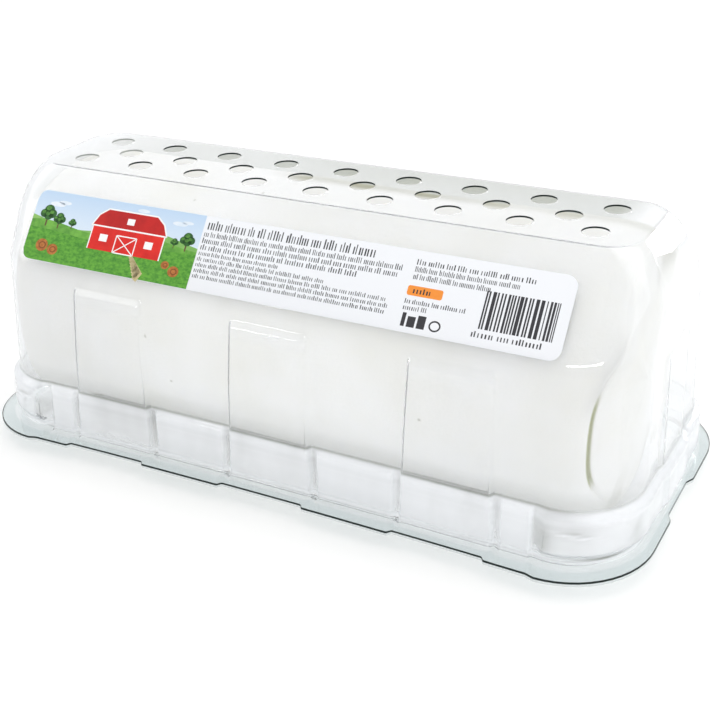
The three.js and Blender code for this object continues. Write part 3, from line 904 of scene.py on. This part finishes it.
def printed_panel():
    """The white part: lines of marks, a tinted lozenge, a few bold bars and a block of upright bars."""
    draw = random.Random(11)
    shapes = line_of_marks(draw, -23.7, 33.0, 7.2, 2.8, 0.36)
    for row, (end, weight) in enumerate(((40.5, 0.23), (40.5, 0.27), (27.0, 0.3))):
        shapes += line_of_marks(draw, -24.2, end, 5.0 - 1.95 * row, 1.6, weight)
    for row, end in enumerate((4.0, 18.0, 38.5, 38.0, 39.0)):
        shapes += line_of_marks(draw, -24.2, end, -0.6 - 1.7 * row, 1.25, 0.23)
    for row, (end, weight) in enumerate(((78.6, 0.28), (73.0, 0.2), (66.0, 0.2))):
        shapes += line_of_marks(draw, 43.2, end, 7.3 - 2.0 * row, 1.5, weight)
    lozenge = [(u + 47.6, v + 0.2) for u, v in rounded_outline(5.1, 1.35, 0.6, 5)]
    shapes.append(("lozenge", lozenge, 0))
    shapes += [(ink, outline, 1) for ink, outline, _ in line_of_marks(draw, 44.2, 51.4, -0.5, 1.5, 0.36)]
    for row, end in enumerate((60.0, 51.0)):
        shapes += line_of_marks(draw, 42.6, end, -3.4 - 1.75 * row, 1.3, 0.24)
    u = 43.0
    for width, height in ((1.1, 3.7), (2.3, 2.9), (2.3, 3.5)):
        shapes.append(("ink", [(u + x, -9.6 + y) for x, y in block(0.0, 0.0, width, height)], 0))
        u += width + 0.6
    shapes += [("ink", [(u + 2.2 + x, -8.2 + y) for x, y in oval(0.0, 0.0, 1.7, 1.5)], 0),
               ("paper", [(u + 2.2 + x, -8.2 + y) for x, y in oval(0.0, 0.0, 1.25, 1.05)], 1)]
    u = 64.4
    while u < 84.2:
        width = draw.choice((0.28, 0.28, 0.45, 0.45, 0.62, 0.95))
        shapes.append(("ink", block(u, -6.6, min(width, 84.6 - u), 10.2), 0))
        u += width + draw.choice((0.26, 0.3, 0.42, 0.6))
    shapes += line_of_marks(draw, 63.0, 84.4, -8.9, 1.6, 0.36)
    return shapes


def make_print(inks):
    names = list(inks)
    points, faces, slots = [], [], []
    for ink, outline, layer in farm_picture() + printed_panel():
        first = len(points)
        count = len(outline)
        base = GAP + LABEL_THICKNESS - 0.02
        for lift in (base, base + 0.02 + PRINT_LAYER * (layer + 1)):
            points += [on_label(u, v, lift) for u, v in outline]
        u, v = np.array(outline).T
        turns_left = np.sum(u * np.roll(v, -1) - np.roll(u, -1) * v) > 0.0
        rings = stack_faces(2, count, first).tolist()
        caps = [list(range(first + count, first + 2 * count)), list(range(first, first + count))[::-1]]
        new_faces = rings + caps
        faces += new_faces if turns_left else [face[::-1] for face in new_faces]
        slots += [names.index(ink)] * len(new_faces)
    return new_object("label_print", points, faces, list(inks.values()), slots, sharp_angle=30.0)


# Materials

PAPER_SHINE = 0.2


def new_material(name):
    material = bpy.data.materials.new(name)
    material.use_nodes = True
    material.node_tree.nodes.clear()
    return material, material.node_tree.nodes, material.node_tree.links


def object_coordinates(nodes):
    return nodes.new("ShaderNodeTexCoord").outputs["Object"]


def noise(nodes, links, scale, detail=3.0, roughness=0.5, stretch=None):
    texture = nodes.new("ShaderNodeTexNoise")
    texture.inputs["Scale"].default_value = scale
    texture.inputs["Detail"].default_value = detail
    texture.inputs["Roughness"].default_value = roughness
    place = object_coordinates(nodes)
    if stretch:
        mapping = nodes.new("ShaderNodeMapping")
        mapping.inputs["Scale"].default_value = stretch
        links.new(place, mapping.inputs["Vector"])
        place = mapping.outputs["Vector"]
    links.new(place, texture.inputs["Vector"])
    return texture.outputs["Fac"]


def stored(nodes, name):
    """A number stored on the mesh for each vertex."""
    attribute = nodes.new("ShaderNodeAttribute")
    attribute.attribute_name = name
    return attribute.outputs["Fac"]


def calculate(nodes, links, operation, first, second):
    node = nodes.new("ShaderNodeMath")
    node.operation = operation
    for socket, value in zip(node.inputs, (first, second)):
        if isinstance(value, float):
            socket.default_value = value
        else:
            links.new(value, socket)
    return node.outputs[0]


def clear_sheet(name, tint, layers=None, waviness=0.06, ior=1.45):
    """Thin clear plastic, in places with a faint milky veil that is partly haze and partly painted reflection. It bends
    and mirrors what is seen in it, and lets light through to what it covers."""
    material, nodes, links = new_material(name)
    output = nodes.new("ShaderNodeOutputMaterial")
    glass = nodes.new("ShaderNodeBsdfGlass")
    glass.inputs["Color"].default_value = (*tint, 1.0)
    glass.inputs["Roughness"].default_value = 0.0
    glass.inputs["IOR"].default_value = ior
    clear = nodes.new("ShaderNodeBsdfTransparent")
    clear.inputs["Color"].default_value = (*tint, 1.0)
    bump = nodes.new("ShaderNodeBump")
    bump.inputs["Strength"].default_value = waviness
    bump.inputs["Distance"].default_value = 0.0006
    links.new(noise(nodes, links, 45.0, 1.0), bump.inputs["Height"])
    links.new(bump.outputs["Normal"], glass.inputs["Normal"])
    sheet = glass.outputs["BSDF"]
    if layers is not None:
        sheet = layers(nodes, links, sheet)
    path = nodes.new("ShaderNodeLightPath")
    lets_through = calculate(nodes, links, "MAXIMUM", path.outputs["Is Shadow Ray"], path.outputs["Is Diffuse Ray"])
    mixed = nodes.new("ShaderNodeMixShader")
    links.new(lets_through, mixed.inputs["Fac"])
    links.new(sheet, mixed.inputs[1])
    links.new(clear.outputs["BSDF"], mixed.inputs[2])
    links.new(mixed.outputs["Shader"], output.inputs["Surface"])
    return material


def covered(nodes, links, sheet, share, colour):
    """A share of the sheet given over to a thin matt layer."""
    layer = nodes.new("ShaderNodeBsdfDiffuse")
    layer.inputs["Color"].default_value = (*colour, 1.0)
    mixed = nodes.new("ShaderNodeMixShader")
    links.new(share, mixed.inputs["Fac"])
    links.new(sheet, mixed.inputs[1])
    links.new(layer.outputs["BSDF"], mixed.inputs[2])
    return mixed.outputs["Shader"]


def veil_and_painted_shade_layers(nodes, links, sheet):
    """The stored veil, in faint upright bands, and the stored painted shade over it. The veil is partly the plastic's
    haze and partly painted reflection, highlights and glare."""
    bands = noise(nodes, links, 1.0, 2.0, 0.5, (75.0, 75.0, 7.0))
    uneven = calculate(nodes, links, "MULTIPLY", calculate(nodes, links, "SUBTRACT", bands, 0.5), 0.9)
    share = calculate(nodes, links, "MULTIPLY", stored(nodes, "veil"), calculate(nodes, links, "ADD", uneven, 1.0))
    milky = covered(nodes, links, sheet, share, (0.9, 0.92, 0.945))
    # Dark olive painted shade
    return covered(nodes, links, milky, stored(nodes, "shade"), (0.12, 0.135, 0.085))


def cut_edge(name, darkest, lightest):
    """The sheet's cut edge: a dark line, partly the plastic's faint green seen along the sheet and partly painted
    shade.
    """
    material, nodes, links = new_material(name)
    output = nodes.new("ShaderNodeOutputMaterial")
    surface = nodes.new("ShaderNodeBsdfPrincipled")
    ramp = nodes.new("ShaderNodeValToRGB")
    ramp.color_ramp.elements[0].color = (*darkest, 1.0)
    ramp.color_ramp.elements[1].color = (*lightest, 1.0)
    links.new(noise(nodes, links, 60.0), ramp.inputs["Fac"])
    links.new(ramp.outputs["Color"], surface.inputs["Base Color"])
    surface.inputs["Roughness"].default_value = 0.4
    surface.inputs["Specular IOR Level"].default_value = 0.2
    links.new(surface.outputs["BSDF"], output.inputs["Surface"])
    return material


def toned(nodes, links, colour, share, tone):
    """A colour mixed towards a tone."""
    mixed = nodes.new("ShaderNodeMix")
    mixed.data_type = "RGBA"
    links.new(share, mixed.inputs["Factor"])
    links.new(colour, mixed.inputs["A"])
    mixed.inputs["B"].default_value = (*tone, 1.0)
    return mixed.outputs["Result"]


def specks(nodes, links):
    """Sparse small marks: the middles of some cells, in a few patches only."""
    cells = nodes.new("ShaderNodeTexVoronoi")
    cells.inputs["Scale"].default_value = 150.0
    links.new(object_coordinates(nodes), cells.inputs["Vector"])
    near_middle = calculate(nodes, links, "LESS_THAN", cells.outputs["Distance"], 0.075)
    in_patch = calculate(nodes, links, "GREATER_THAN", noise(nodes, links, 38.0, 1.0), 0.63)
    return calculate(nodes, links, "MULTIPLY", calculate(nodes, links, "MULTIPLY", near_middle, in_patch), 0.6)


def rind_material():
    material, nodes, links = new_material("bloomy_rind")
    output = nodes.new("ShaderNodeOutputMaterial")
    surface = nodes.new("ShaderNodeBsdfPrincipled")
    surface.inputs["Roughness"].default_value = 0.85
    surface.inputs["Subsurface Weight"].default_value = 0.1
    surface.inputs["Subsurface Radius"].default_value = (1.0, 0.9, 0.7)
    surface.inputs["Subsurface Scale"].default_value = 0.003
    ramp = nodes.new("ShaderNodeValToRGB")
    ramp.color_ramp.elements[0].position = 0.3
    ramp.color_ramp.elements[0].color = (0.845, 0.84, 0.775, 1.0)
    ramp.color_ramp.elements[1].position = 0.66
    ramp.color_ramp.elements[1].color = (0.935, 0.935, 0.92, 1.0)
    links.new(noise(nodes, links, 26.0, 5.0, 0.6), ramp.inputs["Fac"])
    colour = toned(nodes, links, ramp.outputs["Color"], specks(nodes, links), (0.28, 0.28, 0.2))
    # Painted shade, each mixed towards its darker tone: the greyer parts, the shade above the fold, the olive line in
    # the fold, the lines along the underside and the patch behind the top
    for name, strength, tone in (("grey", 0.27, (0.5, 0.5, 0.49)), ("painted_shade_above_fold", 0.5, (0.5, 0.5, 0.48)),
                                 ("fold", 0.95, (0.27, 0.29, 0.06)), ("damp", 0.8, (0.2, 0.2, 0.14)),
                                 ("painted_back_shade", 0.95, (0.36, 0.355, 0.26))):
        share = calculate(nodes, links, "MULTIPLY", stored(nodes, name), strength)
        colour = toned(nodes, links, colour, share, tone)
    links.new(colour, surface.inputs["Base Color"])
    bump = nodes.new("ShaderNodeBump")
    bump.inputs["Strength"].default_value = 0.3
    bump.inputs["Distance"].default_value = 0.0005
    links.new(noise(nodes, links, 500.0, 5.0, 0.6), bump.inputs["Height"])
    links.new(bump.outputs["Normal"], surface.inputs["Normal"])
    links.new(surface.outputs["BSDF"], output.inputs["Surface"])
    return material


def linear(red, green, blue):
    """A linear colour from the 0 to 255 values that a picture shows."""
    def channel(value):
        value = value / 255.0
        return value / 12.92 if value <= 0.04045 else ((value + 0.055) / 1.055) ** 2.4
    return (channel(red), channel(green), channel(blue), 1.0)


def printed(name, colour, other=None, grain=200.0, stretch=None):
    """Ink on coated paper, mottled towards a second colour where one is given."""
    material, nodes, links = new_material(name)
    output = nodes.new("ShaderNodeOutputMaterial")
    surface = nodes.new("ShaderNodeBsdfPrincipled")
    surface.inputs["Base Color"].default_value = linear(*colour)
    surface.inputs["Roughness"].default_value = 0.5
    surface.inputs["Specular IOR Level"].default_value = PAPER_SHINE
    if other:
        ramp = nodes.new("ShaderNodeValToRGB")
        ramp.color_ramp.elements[0].position = 0.36
        ramp.color_ramp.elements[0].color = linear(*other)
        ramp.color_ramp.elements[1].position = 0.62
        ramp.color_ramp.elements[1].color = linear(*colour)
        links.new(noise(nodes, links, grain, 4.0, 0.65, stretch), ramp.inputs["Fac"])
        links.new(ramp.outputs["Color"], surface.inputs["Base Color"])
    links.new(surface.outputs["BSDF"], output.inputs["Surface"])
    return material


def sky_ink():
    """Pale blue that fades to near white down to the hills."""
    material, nodes, links = new_material("sky_ink")
    output = nodes.new("ShaderNodeOutputMaterial")
    surface = nodes.new("ShaderNodeBsdfPrincipled")
    surface.inputs["Roughness"].default_value = 0.5
    surface.inputs["Specular IOR Level"].default_value = PAPER_SHINE
    place = nodes.new("ShaderNodeSeparateXYZ")
    links.new(object_coordinates(nodes), place.inputs["Vector"])
    height = nodes.new("ShaderNodeMapRange")
    height.inputs["From Min"].default_value = on_label(0.0, 0.0, 0.0)[2] * MM + FLANGE_HEIGHT * MM
    height.inputs["From Max"].default_value = on_label(0.0, LABEL_HEIGHT / 2.0, 0.0)[2] * MM + FLANGE_HEIGHT * MM
    links.new(place.outputs["Z"], height.inputs["Value"])
    ramp = nodes.new("ShaderNodeValToRGB")
    ramp.color_ramp.elements[0].color = linear(222, 235, 248)
    ramp.color_ramp.elements[1].color = linear(196, 219, 243)
    links.new(height.outputs["Result"], ramp.inputs["Fac"])
    links.new(ramp.outputs["Color"], surface.inputs["Base Color"])
    links.new(surface.outputs["BSDF"], output.inputs["Surface"])
    return material


def label_inks(paper):
    grass = (60.0, 60.0, 260.0)
    return {
        "ink": printed("dark_ink", (56, 56, 60)),
        "paper": paper,
        "sky": sky_ink(),
        "cloud": printed("cloud_ink", (240, 246, 252), (224, 236, 248), 300.0),
        "hill_far": printed("far_hill_ink", (142, 190, 104), (112, 168, 84), 220.0),
        "hill_near": printed("near_hill_ink", (118, 180, 74), (84, 146, 56), 260.0),
        "meadow": printed("meadow_ink", (104, 172, 60), (66, 132, 44), 1.0, (700.0, 700.0, 1300.0)),
        "track": printed("track_ink", (214, 200, 158), (190, 176, 128), 500.0),
        "bark": printed("bark_ink", (96, 74, 52)),
        "leaf": printed("leaf_ink", (52, 104, 46), (34, 74, 36), 900.0),
        "leaf_lit": printed("leaf_lit_ink", (92, 148, 62), (60, 112, 48), 900.0),
        "barn_red": printed("barn_red_ink", (226, 44, 36), (206, 34, 30), 160.0),
        "barn_roof": printed("barn_roof_ink", (196, 34, 32), (176, 28, 28), 160.0),
        "trim": printed("trim_ink", (250, 250, 250)),
        "straw": printed("straw_ink", (190, 122, 62), (158, 92, 42), 900.0),
        "straw_dark": printed("straw_dark_ink", (128, 72, 34)),
        "lozenge": printed("lozenge_ink", (246, 150, 62)),
    }


def paper_material():
    material, nodes, links = new_material("coated_paper")
    output = nodes.new("ShaderNodeOutputMaterial")
    surface = nodes.new("ShaderNodeBsdfPrincipled")
    surface.inputs["Base Color"].default_value = linear(243, 245, 249)
    surface.inputs["Roughness"].default_value = 0.5
    surface.inputs["Specular IOR Level"].default_value = PAPER_SHINE
    links.new(surface.outputs["BSDF"], output.inputs["Surface"])
    return material


# Stage

WORLD_STRENGTH = 0.87
# Each glow's direction, its reach in degrees and its strength
GLOWS = (((-0.8, -0.3, 0.52), 27.0, 2.4), ((-0.85, 0.45, 0.3), 35.0, 0.25), ((0.5, 0.1, 0.86), 36.0, 1.9),
         ((-0.4, 0.87, 0.29), 22.0, 0.22))
DIM_CARD = ((-0.31, 0.03), (0.14, 0.42), 0.001)
CARD_FADE = (0.08, 0.012)


def make_stage():
    mesh = bpy.data.meshes.new("floor")
    reach = 6.0
    mesh.from_pydata([(-reach, -reach, 0), (reach, -reach, 0), (reach, reach, 0), (-reach, reach, 0)], [],
                     [(0, 1, 2, 3)])
    floor = bpy.data.objects.new("floor", mesh)
    bpy.context.scene.collection.objects.link(floor)
    material, nodes, links = new_material("pale_floor")
    output = nodes.new("ShaderNodeOutputMaterial")
    surface = nodes.new("ShaderNodeBsdfPrincipled")
    surface.inputs["Base Color"].default_value = (0.96, 0.96, 0.96, 1.0)
    surface.inputs["Roughness"].default_value = 0.7
    surface.inputs["Emission Color"].default_value = (1.0, 1.0, 1.0, 1.0)
    surface.inputs["Emission Strength"].default_value = 0.07
    links.new(surface.outputs["BSDF"], output.inputs["Surface"])
    mesh.materials.append(material)


def make_dim_card():
    """A grey card behind the pack that is seen through the plastic only."""
    mesh = bpy.data.meshes.new("dim_card")
    (left, right), (near, far), height = DIM_CARD
    mesh.from_pydata([(left, near, height), (right, near, height), (right, far, height), (left, far, height)], [],
                     [(0, 1, 2, 3)])
    card = bpy.data.objects.new("dim_card", mesh)
    bpy.context.scene.collection.objects.link(card)
    material, nodes, links = new_material("dim_card")
    output = nodes.new("ShaderNodeOutputMaterial")
    surface = nodes.new("ShaderNodeBsdfDiffuse")
    place = nodes.new("ShaderNodeSeparateXYZ")
    links.new(object_coordinates(nodes), place.inputs["Vector"])
    clear_of_left = calculate(nodes, links, "SUBTRACT", place.outputs["X"], left)
    clear_of_right = calculate(nodes, links, "SUBTRACT", right, place.outputs["X"])
    ramp = nodes.new("ShaderNodeValToRGB")
    ramp.color_ramp.elements[0].color = (0.95, 0.95, 0.95, 1.0)
    ramp.color_ramp.elements[1].color = (0.47, 0.49, 0.44, 1.0)
    faded = calculate(nodes, links, "MINIMUM", calculate(nodes, links, "DIVIDE", clear_of_left, CARD_FADE[0]),
                      calculate(nodes, links, "DIVIDE", clear_of_right, CARD_FADE[1]))
    links.new(faded, ramp.inputs["Fac"])
    links.new(ramp.outputs["Color"], surface.inputs["Color"])
    links.new(surface.outputs["BSDF"], output.inputs["Surface"])
    mesh.materials.append(material)
    card.visible_camera = False
    card.visible_diffuse = False
    card.visible_glossy = False
    card.visible_shadow = False


def area_light(name, place, target, size, power, glints_only=False):
    data = bpy.data.lights.new(name, "AREA")
    data.shape = "RECTANGLE"
    data.size, data.size_y = size
    data.energy = power
    light = bpy.data.objects.new(name, data)
    light.visible_diffuse = not glints_only
    light.location = place
    light.rotation_euler = (Vector(target) - Vector(place)).to_track_quat("-Z", "Y").to_euler()
    bpy.context.scene.collection.objects.link(light)


def make_world():
    """An even white studio. Soft glows in it show as mirrored glare only."""
    world = bpy.data.worlds.new("studio")
    bpy.context.scene.world = world
    world.use_nodes = True
    nodes, links = world.node_tree.nodes, world.node_tree.links
    background = nodes["Background"]
    background.inputs["Color"].default_value = (1.0, 1.0, 1.0, 1.0)
    direction = nodes.new("ShaderNodeTexCoord").outputs["Generated"]
    glare = 0.0
    for towards, reach, strength in GLOWS:
        along = nodes.new("ShaderNodeVectorMath")
        along.operation = "DOT_PRODUCT"
        along.inputs[1].default_value = Vector(towards).normalized()
        links.new(direction, along.inputs[0])
        glow = nodes.new("ShaderNodeMapRange")
        glow.interpolation_type = "SMOOTHSTEP"
        glow.inputs["From Min"].default_value = math.cos(math.radians(reach))
        glow.inputs["From Max"].default_value = 1.0
        glow.inputs["To Max"].default_value = strength
        links.new(along.outputs["Value"], glow.inputs["Value"])
        glare = calculate(nodes, links, "ADD", glow.outputs["Result"], glare)
    path = nodes.new("ShaderNodeLightPath")
    glare = calculate(nodes, links, "MULTIPLY", glare, path.outputs["Is Glossy Ray"])
    seen = calculate(nodes, links, "MULTIPLY", path.outputs["Is Camera Ray"], 1.1 - WORLD_STRENGTH)
    strength = calculate(nodes, links, "ADD", calculate(nodes, links, "ADD", glare, seen), WORLD_STRENGTH)
    links.new(strength, background.inputs["Strength"])


def make_lights():
    area_light("top_softbox", (0.1, 0.2, 1.3), (0, 0, 0), (1.2, 1.2), 3.8)
    area_light("right_softbox", (1.2, -0.1, 0.7), (0, 0, 0.05), (0.8, 0.8), 1.5)
    area_light("end_card", (0.34, 1.0, 0.28), (0.1, 0, 0.08), (0.45, 0.42), 5.0, glints_only=True)
    area_light("front_strip", (0.3, -1.1, 0.75), (0, 0, 0.05), (1.1, 0.07), 6.0, glints_only=True)
    area_light("rib_lamp", (-0.6, -0.83, 0.64), (0, 0, 0.05), (0.1, 0.1), 0.8, glints_only=True)


def make_camera():
    """The camera, as recovered from the photograph: 720 pixels square, no shift."""
    focal_pixels = 1227.7
    azimuth = math.radians(29.19)
    elevation = math.radians(26.62)
    roll = math.radians(-2.115)
    place = Vector((173.30, -296.82, 193.38 + FLANGE_HEIGHT)) * MM
    back = Vector((math.sin(azimuth) * math.cos(elevation), -math.cos(azimuth) * math.cos(elevation),
                   math.sin(elevation)))
    level = Vector((math.cos(azimuth), math.sin(azimuth), 0.0))
    above = back.cross(level)
    right = level * math.cos(roll) + above * math.sin(roll)
    up = above * math.cos(roll) - level * math.sin(roll)
    data = bpy.data.cameras.new("camera")
    data.sensor_width = 36.0
    data.lens = focal_pixels / 720.0 * data.sensor_width
    data.clip_start = 0.01
    camera = bpy.data.objects.new("camera", data)
    turn = Matrix((right, up, back)).transposed()
    camera.matrix_world = Matrix.Translation(place) @ turn.to_4x4()
    bpy.context.scene.collection.objects.link(camera)
    bpy.context.scene.camera = camera


make_camera()
make_stage()
make_dim_card()
make_world()
make_lights()

scene = bpy.context.scene
scene.view_settings.view_transform = "Standard"
scene.cycles.use_denoising = True
scene.cycles.max_bounces = 24
scene.cycles.transmission_bounces = 20
scene.cycles.transparent_max_bounces = 40
scene.cycles.caustics_reflective = False
scene.cycles.caustics_refractive = False

dome_sheet = clear_sheet("clear_dome_sheet", (0.993, 0.995, 0.998), veil_and_painted_shade_layers)
tray_sheet = clear_sheet("clear_tray_sheet", (0.985, 0.988, 0.992))
# The flange's teal-grey tint is partly the plastic's own and partly painted shade for the floor beneath the flange
flange_sheet = clear_sheet("clear_flange_sheet", (0.934, 0.95, 0.952), waviness=0.3)
dark_edge = cut_edge("dark_cut_edge", (0.004, 0.009, 0.008), (0.014, 0.026, 0.023))
pale_edge = cut_edge("pale_cut_edge", (0.62, 0.66, 0.66), (0.8, 0.83, 0.83))
faint_edge = cut_edge("faint_cut_edge", (0.3, 0.32, 0.3), (0.45, 0.47, 0.45))

dome = make_dome(dome_sheet, dark_edge, flange_sheet, faint_edge)
tray = make_tray(tray_sheet, pale_edge, flange_sheet)
cheese = make_log(rind_material())
paper = paper_material()
label = make_label(paper)
label_print = make_print(label_inks(paper))

for piece, node, slot in (
    (dome, "dome", "clear_dome"),
    (tray, "tray", "clear_tray"),
    (cheese, "cheese_log", "cheese_rind"),
    (label, "label", "label_paper"),
):
    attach(piece, "root")
    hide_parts(node)
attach(label_print, "root")
